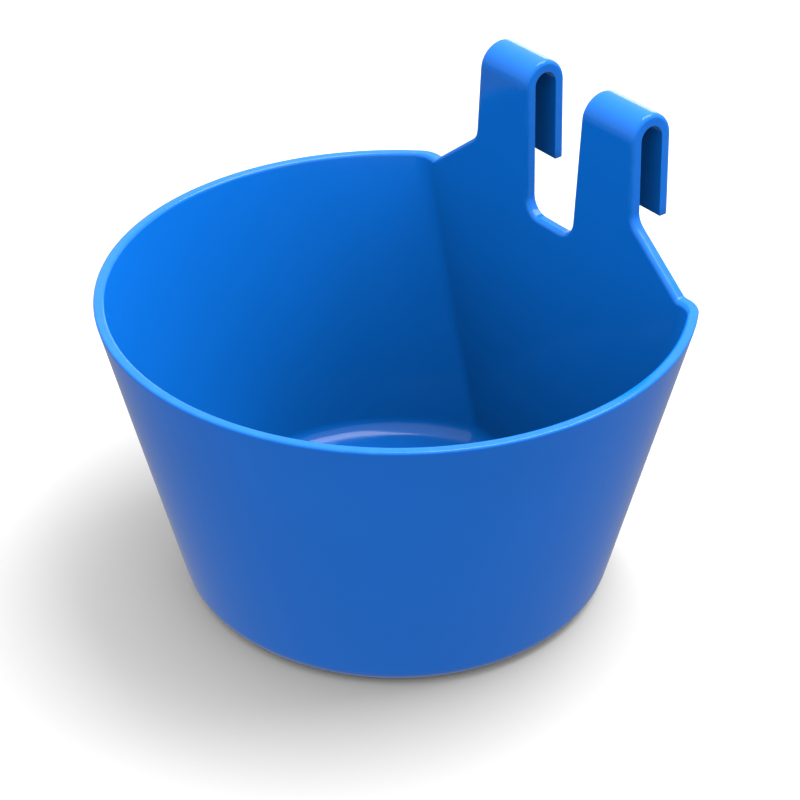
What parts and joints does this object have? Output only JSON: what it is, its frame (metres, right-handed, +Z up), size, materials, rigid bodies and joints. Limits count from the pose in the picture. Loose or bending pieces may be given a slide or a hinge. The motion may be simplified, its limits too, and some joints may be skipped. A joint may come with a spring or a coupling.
{
  "type": "hook-on cage cup",
  "caption": "Open round tapered cup with a flat back wall that rises into tapered legs folded over as hooks, for hanging feed or water inside a cage front.",
  "frame": {"origin": "on the base plane, at the axis of the round wall", "axes": "+Z up, +Y square to the flat back and towards the side the hooks hang from, +X across the hooks"},
  "size_m": [0.15, 0.1373, 0.1235],
  "materials": {
    "blue_plastic": "glossy as moulded"
  },
  "bodies": {
    "root": {"hook_on_cup": "blue_plastic"}
  },
  "joints": []
}
